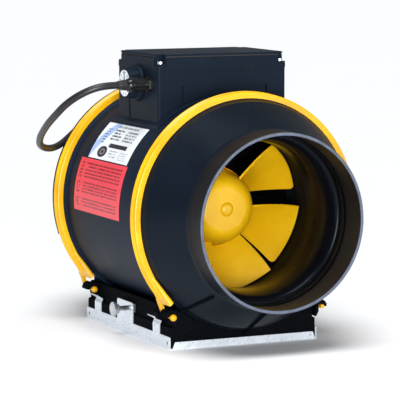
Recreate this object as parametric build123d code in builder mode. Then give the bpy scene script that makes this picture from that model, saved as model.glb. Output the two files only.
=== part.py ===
"""Inline duct fan on a clip-in bracket: ducted shells, impeller, motor, terminal box and lead.

Millimetres, +Z up. The fan axis runs along Y, with the inlet at -Y. The origin is on the
surface that the bracket stands on, below the middle of the housing.
"""

import math
import os

from build123d import *

# ---------------------------------------------------------------- driving dimensions
AXIS_Z = 149.0  # height of the fan axis above the bracket's underside
SPIGOT_R = 100.0  # outside radius of both duct spigots (200 mm duct)
SPIGOT_WALL = 3.5
SPIGOT_LENGTH = 36.0
LENGTH = 424.0  # rim to rim
BARREL_R = 127.5
BARREL_WALL = 4.0
JOINT_R = 131.0  # joint rings under the two straps
JOINT_Y = 114.5  # plane where a shell meets the barrel, and centre of its strap
CONE_EDGE_Y = 128.6
CONE_EDGE_R = 128.0
FLANGE_R = 138.0  # stop flange beside the rear strap

STRAP_INNER_R = 131.2
STRAP_CROWN_R = 138.6  # ridge on the outlet side
STRAP_LOW_R = 136.2  # ridge on the inlet side
STRAP_GROOVE_R = 135.3
STRAP_SHOULDER_R = 133.6
STRAP_WIDTH = 13.5
STRAP_END_ANGLE = 44.0  # below the horizontal, where a strap leaves the ring
STRAP_BAR_R = 2.3

HOOK_X = 94.0  # centre of the strap bar in its hook
HOOK_Z = 38.5
HOOK_INNER_R = 3.3
HOOK_OUTER_R = 7.0

CRADLE_HALF = 90.8
CRADLE_UPPER_HALF = 87.5
CRADLE_LEDGE_Z = 24.0
CRADLE_TOP_Z = 46.0
CRADLE_FRONT_Y = -113.0
CRADLE_REAR_Y = 129.0
CRADLE_SADDLE_R = 131.8
CRADLE_WALL = 3.5

BRACKET_HALF = 92.7
BRACKET_FRONT_Y = -116.0
BRACKET_REAR_Y = 132.0
BRACKET_SHEET = 1.2
BRACKET_RAIL_Z = 14.0
BRACKET_LIP_Z = 8.5
BRACKET_HOLE_R = 3.0
BRACKET_HOLES_X = 140.0
BRACKET_HOLES_Y = 200.0
RAIL_HOLE_R = 2.3
CLIP_WIDTH = 18.0
CLIP_YS = (-76.0, 95.0)
TAB_Y = (-9.0, 36.0)
TAB_Z = 38.0

BOX_HALF_X = 80.5
BOX_Y = (-56.0, 57.6)
BOX_WALL = 3.0
BOX_TOP_Z = 323.5
GASKET_TOP_Z = 325.3
LID_TOP_Z = 327.5
NOTCH = 10.0
NOTCH_Z = 314.0
PLINTH_R = 129.5

GLAND_Y = -37.0
GLAND_Z = 293.0
GLAND_END_X = -122.0
BOOT_R = 4.8
KNOB_Y = 0.0
KNOB_Z = 292.5
KNOB_SKIRT_R = 21.5
KNOB_FACE_R = 16.0
SPINDLE_R = 3.0

HUB_NOSE_Y = -68.0
BUTTON_R = 8.2
HUB_FRONT_R = 37.0  # hub radius at HUB_FRONT_Y, behind its rounded nose
HUB_FRONT_Y = -57.0
HUB_SWELL = 13.0
HUB_END_Y = 4.0
BLADES = 7
FIRST_BLADE = -0.9  # degrees from +X, at its leading edge
ROOT_WRAP = 36.8  # degrees, leading edge to trailing edge
TIP_WRAP = 42.2
LEAD_BOW = 1.4  # degrees that the leading edge runs ahead at mid span
ROOT_LEAD_Y = -46.6
ROOT_TRAIL_Y = -4.0
ROOT_EMBED = 2.2
TIP_LEAD_Y = -68.0
TIP_LEAD_R = 92.8
TIP_TRAIL_Y = -31.0
TIP_TRAIL_R = 106.0
TIP_CURVE = 1.14
TIP_CORNER_R = 5.0
BLADE_THICK = 2.4
TIP_GAP = 2.6
THROAT_R = 84.0
THROAT_END_Y = -120.0
MOUTH_Y = -164.0  # outer edge of the nozzle's elliptical bell mouth
MOUTH_END_Y = -134.0
SEAT_BORE_R = 94.9
SEAM_Y = -167.2  # fine groove round the nozzle's seat
SEAM_WIDTH = 0.8
SEAM_DEPTH = 0.4
NOZZLE_WALL = 3.0
BELL_R = 36.0
SHAFT_R = 4.0
RUNNING_GAP = 0.04
CASING_Y = 5.0  # start of the guide vane casing
CASING_END_Y = 80.0
CASING_R = 113.8
CASING_FLANGE_R = 123.2
CASING_SCREWS_R = 120.1
CASING_SCREW_R = 1.85
CASING_SCREW_HEAD_R = 3.0
VANE_HUB_R = 62.0
VANES = 9

SCREW_Y = -2.0
SCREW_Z = 31.5
SCREW_HEAD_X = -115.0
SCREW_R = 3.0

CORD_R = 4.15
COIL_CENTRE = (52.0, 266.0)
COIL_MEAN_R = 44.0
COIL_R_IN = 36.0
COIL_R_OUT = 52.0
COIL_HEIGHT = 17.6
PLUG_X = 3.0
PLUG_Y = 246.0  # back end of the plug's sleeve
PLUG_Z = 13.8
PLUG_SLEEVE = 6.0
PLUG_TAPER = 18.0
PLUG_GRIP_TAPER = 12.0
PLUG_GRIP = 15.0
PLUG_PIN = 17.0

# ---------------------------------------------------------------- shared planes and helpers
FAN_AXIS = Axis((0, 0, AXIS_Z), (0, 1, 0))
MERIDIAN = Plane(origin=(0, 0, AXIS_Z), x_dir=(0, 1, 0), z_dir=(1, 0, 0))
GLAND_PLANE = Plane(origin=(0, GLAND_Y, GLAND_Z), x_dir=(1, 0, 0), z_dir=(0, -1, 0))
GLAND_AXIS = Axis((0, GLAND_Y, GLAND_Z), (1, 0, 0))
KNOB_PLANE = Plane(origin=(0, KNOB_Y, KNOB_Z), x_dir=(1, 0, 0), z_dir=(0, -1, 0))
KNOB_AXIS = Axis((0, KNOB_Y, KNOB_Z), (1, 0, 0))
SCREW_PLANE = Plane(origin=(0, SCREW_Y, SCREW_Z), x_dir=(1, 0, 0), z_dir=(0, -1, 0))
SCREW_AXIS = Axis((0, SCREW_Y, SCREW_Z), (1, 0, 0))
BOX_MID_Y = (BOX_Y[0] + BOX_Y[1]) / 2
BOX_LENGTH_Y = BOX_Y[1] - BOX_Y[0]


def fan_plane(y):
    """Plane square to the fan axis at y, facing +Y, with local x along -X."""
    return Plane(origin=(0, y, AXIS_Z), x_dir=(-1, 0, 0), z_dir=(0, 1, 0))


def side_plane(x):
    """Plane facing +X at x, with local x along Y and local y along Z."""
    return Plane(origin=(x, 0, 0), x_dir=(0, 1, 0), z_dir=(1, 0, 0))


def meridian_at(angle):
    """Half plane through the fan axis, angle in degrees from +X towards +Z."""
    turn = math.radians(angle)
    normal = (math.sin(turn), 0, -math.cos(turn))
    return Plane(origin=(0, 0, AXIS_Z), x_dir=(0, 1, 0), z_dir=normal)


def hub_r(y):
    """Radius of the impeller's hub at y behind its nose."""
    reach = (y - HUB_FRONT_Y) / -HUB_FRONT_Y
    return HUB_FRONT_R + HUB_SWELL * math.sqrt(max(reach, 0.0))


def tip_r(chord):
    """Radius of a blade's tip, chord 0 to 1 from its leading to its trailing edge."""
    return TIP_LEAD_R + (TIP_TRAIL_R - TIP_LEAD_R) * chord**TIP_CURVE


def tip_y(chord):
    return TIP_LEAD_Y + (TIP_TRAIL_Y - TIP_LEAD_Y) * chord


def save(part, name):
    """Labels a finished piece and writes it as the node of that name."""
    part.label = name
    export_step(part, f"parts/{name}.step")


os.makedirs("parts", exist_ok=True)

# ---------------------------------------------------------------- housing
rim_y = LENGTH / 2
root_y = rim_y - SPIGOT_LENGTH
bore_r = SPIGOT_R - SPIGOT_WALL

with BuildPart() as front_shell:
    with BuildSketch(MERIDIAN):
        with BuildLine():
            outside = FilletPolyline(
                (-rim_y, SPIGOT_R),
                (-root_y, SPIGOT_R),
                (-CONE_EDGE_Y, CONE_EDGE_R),
                radius=12,
            )
            Polyline(
                outside @ 1,
                (-JOINT_Y - 6, JOINT_R - 0.4),
                (-JOINT_Y - 6, JOINT_R),
                (-JOINT_Y, JOINT_R),
                (-JOINT_Y, JOINT_R - 4),
                (-CONE_EDGE_Y - 1, CONE_EDGE_R - 5),
            )
            FilletPolyline(
                (-CONE_EDGE_Y - 1, CONE_EDGE_R - 5),
                (-root_y + 1.5, bore_r),
                (-rim_y, bore_r),
                radius=10,
            )
            Line((-rim_y, bore_r), outside @ 0)
        make_face()
    revolve(axis=FAN_AXIS)
    fillet(front_shell.edges().group_by(Axis.Y)[0], 1.2)
save(front_shell.part, "front_shell")

with BuildPart() as rear_shell:
    mirror(front_shell.part, about=Plane.XZ)
    with BuildSketch(fan_plane(JOINT_Y + 8)):
        Circle(FLANGE_R)
        Circle(JOINT_R - 4, mode=Mode.SUBTRACT)
        # gaps that let the strap ends pass
        with Locations((-112, -92), (112, -92)):
            Rectangle(54, 96, mode=Mode.SUBTRACT)
    extrude(amount=2.5)
save(rear_shell.part, "rear_shell")

with BuildPart() as housing_barrel:
    with BuildSketch(MERIDIAN):
        with BuildLine():
            Polyline(
                (-JOINT_Y, JOINT_R),
                (-JOINT_Y + 8, JOINT_R),
                (-JOINT_Y + 11, BARREL_R),
                (JOINT_Y - 11, BARREL_R),
                (JOINT_Y - 8, JOINT_R),
                (JOINT_Y, JOINT_R),
                (JOINT_Y, BARREL_R - BARREL_WALL),
                (-JOINT_Y, BARREL_R - BARREL_WALL),
                close=True,
            )
        make_face()
    revolve(axis=FAN_AXIS)
    # raised seat for the terminal box
    with BuildSketch(fan_plane(-66)):
        Circle(PLINTH_R)
        Circle(BARREL_R - 1, mode=Mode.SUBTRACT)
        with Locations((0, PLINTH_R)):
            Rectangle(170, 2 * (PLINTH_R - 90), mode=Mode.INTERSECT)
    extrude(amount=132)
    # hole for the motor lead
    with Locations(Plane(origin=(0, 40, AXIS_Z + BARREL_R), z_dir=(0, 0, 1))):
        Hole(6.5, depth=20)
save(housing_barrel.part, "housing_barrel")

nozzle_end_y = CASING_Y - 0.1
nozzle_seat_r = bore_r - 0.3
with BuildPart() as inlet_nozzle:
    with BuildSketch(MERIDIAN):
        with BuildLine():
            seat = Polyline(
                (-root_y + 1.5, SEAT_BORE_R),
                (SEAM_Y, SEAT_BORE_R),
                (SEAM_Y, SEAT_BORE_R + SEAM_DEPTH),
                (SEAM_Y + SEAM_WIDTH, SEAT_BORE_R + SEAM_DEPTH),
                (SEAM_Y + SEAM_WIDTH, SEAT_BORE_R),
                (MOUTH_Y, SEAT_BORE_R),
            )
            EllipticalCenterArc(
                (MOUTH_END_Y, SEAT_BORE_R),
                MOUTH_END_Y - MOUTH_Y,
                SEAT_BORE_R - THROAT_R,
                start_angle=180,
                arc_size=90,
            )
            throat = Line((MOUTH_END_Y, THROAT_R), (THROAT_END_Y, THROAT_R))
            flare = Spline(
                throat @ 1,
                (tip_y(0), tip_r(0) + TIP_GAP),
                (tip_y(0.5), tip_r(0.5) + TIP_GAP),
                (tip_y(1), tip_r(1) + TIP_GAP),
                (nozzle_end_y, CASING_R),
                tangents=((1, 0), (1, 0.08)),
            )
            Polyline(
                flare @ 1,
                (nozzle_end_y, CASING_FLANGE_R),
                (nozzle_end_y - 4, CASING_FLANGE_R),
                (nozzle_end_y - 4, CASING_R + NOZZLE_WALL),
                (tip_y(1), tip_r(1) + TIP_GAP + NOZZLE_WALL),
                (tip_y(0.5), tip_r(0.5) + TIP_GAP + NOZZLE_WALL),
                (tip_y(0), tip_r(0) + TIP_GAP + NOZZLE_WALL),
                (THROAT_END_Y, THROAT_R + NOZZLE_WALL),
                (MOUTH_END_Y, THROAT_R + NOZZLE_WALL),
            )
            EllipticalCenterArc(
                (MOUTH_END_Y, SEAT_BORE_R),
                MOUTH_END_Y - MOUTH_Y - NOZZLE_WALL,
                SEAT_BORE_R - THROAT_R - NOZZLE_WALL,
                start_angle=180,
                arc_size=90,
            )
            Polyline(
                (MOUTH_Y + NOZZLE_WALL, SEAT_BORE_R),
                (MOUTH_Y + NOZZLE_WALL, nozzle_seat_r),
                (-root_y + 1.5, nozzle_seat_r),
                seat @ 0,
            )
        make_face()
    revolve(axis=FAN_AXIS)
    with BuildSketch(fan_plane(nozzle_end_y)):
        with PolarLocations(CASING_SCREWS_R, 6, start_angle=30):
            Circle(CASING_SCREW_R + 0.05)
    extrude(amount=-6, mode=Mode.SUBTRACT)
save(inlet_nozzle.part, "inlet_nozzle")

with BuildPart() as vane:
    # one guide vane: an arc of sheet that turns the swirl back to the axis
    with BuildSketch(Plane(origin=(0, 0, AXIS_Z), z_dir=(0, 0, 1))):
        with BuildLine():
            camber = ThreePointArc((-16, 16), (-2, 40), (0, 73))
            offset(amount=1.2)
        make_face()
    extrude(amount=CASING_R + 1.5)
    with BuildSketch(fan_plane(0)):
        Circle(VANE_HUB_R - 3.5)
    extrude(amount=100, mode=Mode.SUBTRACT)

with BuildPart() as guide_vane_casing:
    with BuildSketch(MERIDIAN):
        with BuildLine():
            Polyline(
                (CASING_Y, CASING_R),
                (CASING_END_Y, CASING_R),
                (CASING_END_Y, CASING_R + 3),
                (CASING_Y + 6, CASING_R + 3),
                (CASING_Y + 6, CASING_FLANGE_R),
                (CASING_Y, CASING_FLANGE_R),
                close=True,
            )
        make_face()
        with BuildLine():
            Polyline(
                (11, 13),
                (11, VANE_HUB_R),
                (74, VANE_HUB_R),
                (74, VANE_HUB_R - 3),
                (14, VANE_HUB_R - 3),
                (14, 13),
                close=True,
            )
        make_face()
    revolve(axis=FAN_AXIS)
    for index in range(VANES):
        add(vane.part.rotate(FAN_AXIS, index * 360 / VANES + 20))
    # way through the ring and the hub for the motor lead
    with BuildSketch(Plane(origin=(0, 40, AXIS_Z), z_dir=(0, 0, 1))):
        Circle(3.6)
    extrude(amount=CASING_R + 10, mode=Mode.SUBTRACT)
    with BuildSketch(fan_plane(0)):
        with PolarLocations(21, 4, start_angle=45):
            Circle(2.1)
        with PolarLocations(CASING_SCREWS_R, 6, start_angle=30):
            Circle(CASING_SCREW_R + 0.05)
    extrude(amount=30, mode=Mode.SUBTRACT)
save(guide_vane_casing.part, "guide_vane_casing")

with BuildPart() as casing_screws:
    with BuildSketch(fan_plane(CASING_Y + 6)):
        with PolarLocations(CASING_SCREWS_R, 6, start_angle=30):
            Circle(CASING_SCREW_HEAD_R)
    extrude(amount=2.4)
    with BuildSketch(fan_plane(CASING_Y + 6)):
        with PolarLocations(CASING_SCREWS_R, 6, start_angle=30):
            Circle(CASING_SCREW_R)
    extrude(amount=-9)
save(casing_screws.part, "casing_screws")

with BuildPart() as outlet_cone:
    with BuildSketch(MERIDIAN):
        with BuildLine():
            inner_wall = Spline(
                (CASING_END_Y + 0.3, CASING_R),
                (126, 104),
                (174, 93.5),
                tangents=((1, 0), (1, -0.1)),
            )
            Polyline(
                inner_wall @ 1,
                (174, 96.2),
                (166, 97.2),
                (126, 107),
                (CASING_END_Y + 4, CASING_R + 6.4),
                (CASING_END_Y - 4, CASING_R + 6.4),
                (CASING_END_Y - 4, CASING_R + 3.2),
                (CASING_END_Y + 0.3, CASING_R + 3.2),
                inner_wall @ 0,
            )
        make_face()
    revolve(axis=FAN_AXIS)
save(outlet_cone.part, "outlet_cone")

with BuildPart() as tail_fairing:
    with BuildSketch(MERIDIAN):
        with BuildLine():
            dome = Spline(
                (74.2, VANE_HUB_R),
                (98, 50),
                (110, 22),
                tangents=((1, 0), (0.25, -1)),
            )
            Line(dome @ 1, (110, 0))
            Line((110, 0), (107, 0))
            Line((107, 0), (107, 20))
            inner_dome = Spline(
                (107, 20),
                (95.5, 47.5),
                (74.2, VANE_HUB_R - 3),
                tangents=((-0.25, 1), (-1, 0)),
            )
            Line(inner_dome @ 1, dome @ 0)
        make_face()
    revolve(axis=FAN_AXIS)
save(tail_fairing.part, "tail_fairing")

# ---------------------------------------------------------------- motor, fixed side
with BuildPart() as motor_flange:
    with BuildSketch(MERIDIAN):
        with BuildLine():
            Polyline(
                (-40, 8),
                (10.9, 8),
                (10.9, 28),
                (6, 28),
                (6, 10.9),
                (-40, 10.9),
                close=True,
            )
        make_face()
    revolve(axis=FAN_AXIS)
    with BuildSketch(fan_plane(0)):
        with PolarLocations(21, 4, start_angle=45):
            Circle(1.75)
    extrude(amount=20, mode=Mode.SUBTRACT)
save(motor_flange.part, "motor_flange")

with BuildPart() as motor_screws:
    with BuildSketch(fan_plane(14)):
        with PolarLocations(21, 4, start_angle=45):
            Circle(3.5)
    extrude(amount=3)
    with BuildSketch(fan_plane(14)):
        with PolarLocations(21, 4, start_angle=45):
            Circle(1.7)
    extrude(amount=-7.8)
save(motor_screws.part, "motor_screws")

for bearing_name, start_y in (("bearing_front", -39.0), ("bearing_rear", 3.0)):
    with BuildPart() as bearing:
        with BuildSketch(fan_plane(start_y)):
            Circle(7.97)
            Circle(SHAFT_R + RUNNING_GAP, mode=Mode.SUBTRACT)
        extrude(amount=7)
        # the two seal faces are set back between the races
        for face_y in (start_y, start_y + 6.6):
            with BuildSketch(fan_plane(face_y)):
                Circle(6.9)
                Circle(5.1, mode=Mode.SUBTRACT)
            extrude(amount=0.4, mode=Mode.SUBTRACT)
    save(bearing.part, bearing_name)

STATOR_SLOTS = 12
with BuildPart() as stator_core:
    with BuildSketch(fan_plane(-30)):
        Circle(26.4)
        Circle(10.95, mode=Mode.SUBTRACT)
        with PolarLocations(19.5, STATOR_SLOTS):
            SlotOverall(8.5, 5, mode=Mode.SUBTRACT)
        with PolarLocations(25.5, STATOR_SLOTS):
            Rectangle(5, 1.6, mode=Mode.SUBTRACT)
    extrude(amount=24)
save(stator_core.part, "stator_core")

with BuildPart() as stator_winding:
    for centre_y in (-33.3, -2.7):
        with BuildSketch(MERIDIAN):
            with Locations((centre_y, 18.5)):
                RectangleRounded(6, 11, 2.2)
        revolve(axis=FAN_AXIS)
save(stator_winding.part, "stator_winding")

# ---------------------------------------------------------------- rotor and impeller
with BuildPart() as rotor_bell:
    with BuildSketch(MERIDIAN):
        with BuildLine():
            Polyline(
                (-46, SHAFT_R),
                (-46, BELL_R - 1.5),
                (-44.5, BELL_R),
                (2, BELL_R),
                (2, BELL_R - 2.5),
                (-43.5, BELL_R - 2.5),
                (-43.5, SHAFT_R),
                close=True,
            )
        make_face()
    revolve(axis=FAN_AXIS)
save(rotor_bell.part, "rotor_bell")

with BuildPart() as rotor_cage:
    with BuildSketch(fan_plane(-32)):
        Circle(BELL_R - 2.6)
        Circle(26.9, mode=Mode.SUBTRACT)
    extrude(amount=28)
save(rotor_cage.part, "rotor_cage")

with BuildPart() as impeller_shaft:
    with BuildSketch(fan_plane(-46)):
        Circle(SHAFT_R)
    extrude(amount=58)
    chamfer(impeller_shaft.edges().group_by(Axis.Y)[-1], 0.6)
save(impeller_shaft.part, "impeller_shaft")


def blade_point(chord, span):
    """Point of the blade's middle surface: chord 0 to 1 front to back, span 0 to 1 outwards."""
    blade_root_y = ROOT_LEAD_Y + (ROOT_TRAIL_Y - ROOT_LEAD_Y) * chord
    y = blade_root_y + (tip_y(chord) - blade_root_y) * span
    radius = (hub_r(blade_root_y) - ROOT_EMBED) * (1 - span) + tip_r(chord) * span
    wrap = ROOT_WRAP + (TIP_WRAP - ROOT_WRAP) * span
    bow = LEAD_BOW * 4 * span * (1 - span) * (1 - chord)
    turn = math.radians(FIRST_BLADE + bow - wrap * chord)
    return (radius * math.cos(turn), y, AXIS_Z + radius * math.sin(turn))


CHORD_STEPS = 7
SPAN_STEPS = 5
blade_grid = [
    [blade_point(i / (CHORD_STEPS - 1), j / (SPAN_STEPS - 1)) for j in range(SPAN_STEPS)]
    for i in range(CHORD_STEPS)
]
with BuildPart() as blade:
    blade_face = Face.make_surface_from_array_of_points(
        [[Vector(point) for point in row] for row in blade_grid]
    )
    thicken(blade_face, amount=BLADE_THICK / 2, both=True)
    # rounded corners at the two ends of the tip
    tip_corners = blade.edges().filter_by(lambda edge: edge.length < 2 * BLADE_THICK)
    tip_corners = tip_corners.sort_by(lambda edge: math.hypot(edge.center().X, edge.center().Z - AXIS_Z))
    fillet(tip_corners[-2:], TIP_CORNER_R)

with BuildPart() as impeller:
    with BuildSketch(MERIDIAN):
        with BuildLine():
            nose = Line((HUB_NOSE_Y, 0), (HUB_NOSE_Y, 24))
            shoulder = Spline(
                nose @ 1,
                (-64.5, 32.5),
                (-56, hub_r(-56)),
                (-28, hub_r(-28)),
                (HUB_END_Y, hub_r(HUB_END_Y)),
                tangents=((0.08, 1), (1, 0.1)),
            )
            Polyline(
                shoulder @ 1,
                (HUB_END_Y, BELL_R + 0.03),
                (-46.2, BELL_R + 0.03),
                (-46.2, 31),
                (-58, 28),
                (-64, 20),
                (-64, 0),
                (HUB_NOSE_Y, 0),
            )
        make_face()
    revolve(axis=FAN_AXIS)
    # relief groove that keeps the hub wall even
    with BuildSketch(fan_plane(-22)):
        Circle(43.5)
        Circle(39, mode=Mode.SUBTRACT)
    extrude(amount=40, mode=Mode.SUBTRACT)
    for index in range(BLADES):
        add(blade.part.rotate(FAN_AXIS, -index * 360 / BLADES))
    with BuildSketch(fan_plane(HUB_NOSE_Y - 1)):
        Circle(4)
    extrude(amount=8, mode=Mode.SUBTRACT)
save(impeller.part, "impeller")

with BuildPart() as hub_cap:
    with BuildSketch(MERIDIAN):
        with BuildLine():
            Line((HUB_NOSE_Y - 3.6, 0), (HUB_NOSE_Y - 3.6, 3))
            ThreePointArc(
                (HUB_NOSE_Y - 3.6, 3), (HUB_NOSE_Y - 2.6, 6.3), (HUB_NOSE_Y - 0.1, BUTTON_R)
            )
            Polyline(
                (HUB_NOSE_Y - 0.1, BUTTON_R),
                (HUB_NOSE_Y - 0.1, 3.9),
                (HUB_NOSE_Y + 4, 3.9),
                (HUB_NOSE_Y + 4, 0),
                (HUB_NOSE_Y - 3.6, 0),
            )
        make_face()
    revolve(axis=FAN_AXIS)
save(hub_cap.part, "hub_cap")

# ---------------------------------------------------------------- cradle and bracket
with BuildPart() as cradle:
    with BuildSketch(Plane.XZ.offset(-CRADLE_REAR_Y)):
        with BuildLine():
            Polyline(
                (-CRADLE_HALF, BRACKET_SHEET + 0.1),
                (CRADLE_HALF, BRACKET_SHEET + 0.1),
                (CRADLE_HALF, CRADLE_LEDGE_Z),
                (CRADLE_UPPER_HALF, CRADLE_LEDGE_Z + 1.5),
                (CRADLE_UPPER_HALF, CRADLE_TOP_Z),
                (-CRADLE_UPPER_HALF, CRADLE_TOP_Z),
                (-CRADLE_UPPER_HALF, CRADLE_LEDGE_Z + 1.5),
                (-CRADLE_HALF, CRADLE_LEDGE_Z),
                close=True,
            )
        make_face()
        with Locations((0, AXIS_Z)):
            Circle(CRADLE_SADDLE_R, mode=Mode.SUBTRACT)
    extrude(amount=CRADLE_REAR_Y - CRADLE_FRONT_Y)
    # open cells between the cross ribs
    cell = (CRADLE_REAR_Y - CRADLE_FRONT_Y - 5 * CRADLE_WALL) / 4
    with BuildSketch(Plane.XY.offset(BRACKET_SHEET + 3.5)):
        with Locations((0, (CRADLE_REAR_Y + CRADLE_FRONT_Y) / 2)):
            with GridLocations(0, cell + CRADLE_WALL, 1, 4):
                Rectangle(2 * (CRADLE_UPPER_HALF - CRADLE_WALL), cell)
    extrude(amount=60, mode=Mode.SUBTRACT)
    # hooks for the strap bars, one at each end of each strap
    for side in (-1, 1):
        for strap_y in (-JOINT_Y, JOINT_Y):
            with BuildSketch(Plane.XZ.offset(-(strap_y + 10))):
                with Locations((side * HOOK_X, HOOK_Z)):
                    Circle(HOOK_OUTER_R)
                with BuildLine():
                    Polyline(
                        (side * CRADLE_UPPER_HALF, CRADLE_TOP_Z - 0.5),
                        (side * HOOK_X, HOOK_Z + HOOK_OUTER_R),
                        (side * HOOK_X, HOOK_Z),
                        (side * (CRADLE_UPPER_HALF), CRADLE_LEDGE_Z + 3),
                        close=True,
                    )
                make_face()
                with Locations((side * HOOK_X, HOOK_Z)):
                    Circle(HOOK_INNER_R, mode=Mode.SUBTRACT)
                with Locations((side * (HOOK_X + 0.5), HOOK_Z - 6)):
                    Rectangle(7.6, 12, mode=Mode.SUBTRACT)
                # the outer cheek stops at the bar
                with Locations((side * (HOOK_X + 6), HOOK_Z - 6)):
                    Rectangle(14, 11, mode=Mode.SUBTRACT)
                # grip ribs
                with Locations((side * HOOK_X, HOOK_Z)):
                    first_rib = 20 if side > 0 else 90
                    with PolarLocations(HOOK_OUTER_R, 3, start_angle=first_rib, angular_range=70):
                        Circle(0.8)
            extrude(amount=18.5)
        # narrow guide prong behind the front strap's leg
        with BuildSketch(Plane.XZ.offset(JOINT_Y - 27)):
            with BuildLine():
                Polyline(
                    (side * 85, CRADLE_TOP_Z),
                    (side * 97, CRADLE_TOP_Z - 1),
                    (side * 101, CRADLE_TOP_Z - 6),
                    (side * 98, CRADLE_LEDGE_Z + 8),
                    (side * 85, CRADLE_LEDGE_Z + 4),
                    close=True,
                )
            make_face()
        extrude(amount=8)
    # fins that carry the front cone
    for angle in (-128, -90, -52):
        with BuildSketch(meridian_at(angle)):
            with BuildLine():
                Polyline(
                    (CRADLE_FRONT_Y + 1, CRADLE_SADDLE_R + 0.4),
                    (-JOINT_Y - 7, CRADLE_SADDLE_R + 0.2),
                    (-CONE_EDGE_Y - 0.4, CONE_EDGE_R + 0.5),
                    (-root_y + 7, 104.7),
                    (-root_y + 6, 106.2),
                    (CRADLE_FRONT_Y + 1, 139.5),
                    close=True,
                )
            make_face()
        extrude(amount=1.5, both=True)
    # groove that locates the rear shell's stop flange
    with BuildSketch(fan_plane(JOINT_Y + 7.3)):
        Circle(FLANGE_R + 0.7)
    extrude(amount=4, mode=Mode.SUBTRACT)
    # recess for the nut of the thumb screw
    with BuildSketch(side_plane(-BRACKET_HALF)):
        with Locations((SCREW_Y, SCREW_Z)):
            Rectangle(13, 13)
    extrude(amount=BRACKET_HALF - CRADLE_UPPER_HALF, mode=Mode.SUBTRACT)
save(cradle.part, "cradle")

bracket_mid_y = (BRACKET_FRONT_Y + BRACKET_REAR_Y) / 2
bracket_length = BRACKET_REAR_Y - BRACKET_FRONT_Y
with BuildPart() as wall_bracket:
    with BuildSketch(Plane.XY):
        with Locations((0, bracket_mid_y)):
            RectangleRounded(2 * BRACKET_HALF, bracket_length, 2)
    extrude(amount=BRACKET_SHEET)
    # side rails with their clip roots, and the tall tab on the left
    for side in (-1, 1):
        face_x = side * BRACKET_HALF - (BRACKET_SHEET if side > 0 else 0)
        with BuildSketch(side_plane(face_x)) as rail_outline:
            with Locations((bracket_mid_y, BRACKET_RAIL_Z / 2)):
                RectangleRounded(bracket_length - 5, BRACKET_RAIL_Z, 2)
            if side < 0:
                with Locations(((TAB_Y[0] + TAB_Y[1]) / 2, TAB_Z / 2)):
                    RectangleRounded(TAB_Y[1] - TAB_Y[0], TAB_Z, 3)
                with Locations((SCREW_Y, SCREW_Z)):
                    Circle(3.4, mode=Mode.SUBTRACT)
            for hole_y in (BRACKET_FRONT_Y + 9.5, BRACKET_REAR_Y - 9.5):
                with Locations((hole_y, BRACKET_RAIL_Z / 2)):
                    Circle(RAIL_HOLE_R, mode=Mode.SUBTRACT)
        extrude(amount=BRACKET_SHEET)
        # spring clips: up, in over the cradle's ledge, and out again as a lead-in
        for clip_y in CLIP_YS:
            clip_plane = Plane.XZ.offset(-(clip_y + CLIP_WIDTH / 2))
            with BuildSketch(clip_plane):
                with BuildLine():
                    clip_path = FilletPolyline(
                        (side * (BRACKET_HALF - 0.6), BRACKET_RAIL_Z - 4),
                        (side * (BRACKET_HALF - 0.6), CRADLE_LEDGE_Z + 0.5),
                        (side * (CRADLE_HALF - 0.9), CRADLE_LEDGE_Z + 5),
                        (side * (BRACKET_HALF + 6), CRADLE_LEDGE_Z + 10),
                        radius=1.6,
                    )
                    offset(amount=BRACKET_SHEET / 2)
                make_face()
            extrude(amount=CLIP_WIDTH)
    # end lips
    for lip_y in (BRACKET_FRONT_Y, BRACKET_REAR_Y - BRACKET_SHEET):
        with BuildSketch(Plane.XZ.offset(-(lip_y + BRACKET_SHEET))):
            with Locations((0, BRACKET_LIP_Z / 2)):
                Trapezoid(2 * BRACKET_HALF - 5, BRACKET_LIP_Z, 68)
        extrude(amount=BRACKET_SHEET)
    # wall fixing holes
    with BuildSketch(Plane.XY.offset(-1)):
        with Locations((0, bracket_mid_y)):
            with GridLocations(BRACKET_HOLES_X, BRACKET_HOLES_Y, 2, 2):
                Circle(BRACKET_HOLE_R)
    extrude(amount=4, mode=Mode.SUBTRACT)
save(wall_bracket.part, "wall_bracket")

# ---------------------------------------------------------------- thumb screw
with BuildPart() as thumb_screw_nut:
    with BuildSketch(SCREW_PLANE):
        with Locations((-89.7, 0)):
            Rectangle(3.5, 10)
    extrude(amount=5, both=True)
    with BuildSketch(side_plane(-95)):
        with Locations((SCREW_Y, SCREW_Z)):
            Circle(SCREW_R + RUNNING_GAP)
    extrude(amount=20, mode=Mode.SUBTRACT)
save(thumb_screw_nut.part, "thumb_screw_nut")

with BuildPart() as thumb_screw:
    with BuildSketch(SCREW_PLANE):
        with BuildLine():
            Polyline(
                (-87.7, 0),
                (-87.7, SCREW_R - 0.6),
                (-88.3, SCREW_R),
                (SCREW_HEAD_X + 6, SCREW_R),
                (SCREW_HEAD_X + 6, 5),
                (SCREW_HEAD_X + 3.2, 5),
                (SCREW_HEAD_X + 3.2, 8.2),
                (SCREW_HEAD_X + 2.6, 8.6),
                (SCREW_HEAD_X + 0.6, 8.6),
                (SCREW_HEAD_X, 8),
                (SCREW_HEAD_X, 0),
                close=True,
            )
        make_face()
    revolve(axis=SCREW_AXIS)
    # knurl on the head
    with BuildSketch(side_plane(SCREW_HEAD_X - 1)):
        with Locations((SCREW_Y, SCREW_Z)):
            with PolarLocations(8.9, 24):
                Circle(0.6)
    extrude(amount=5, mode=Mode.SUBTRACT)
save(thumb_screw.part, "thumb_screw")

with BuildPart() as thumb_screw_washer:
    with BuildSketch(side_plane(SCREW_HEAD_X + 6.1)):
        with Locations((SCREW_Y, SCREW_Z)):
            Circle(5.6)
            Circle(SCREW_R + RUNNING_GAP, mode=Mode.SUBTRACT)
    extrude(amount=1.2)
save(thumb_screw_washer.part, "thumb_screw_washer")

# ---------------------------------------------------------------- straps
strap_half = STRAP_WIDTH / 2
wedge_half = 18.0
leg_y = 13.0
strap_end_r = 135.5


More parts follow.
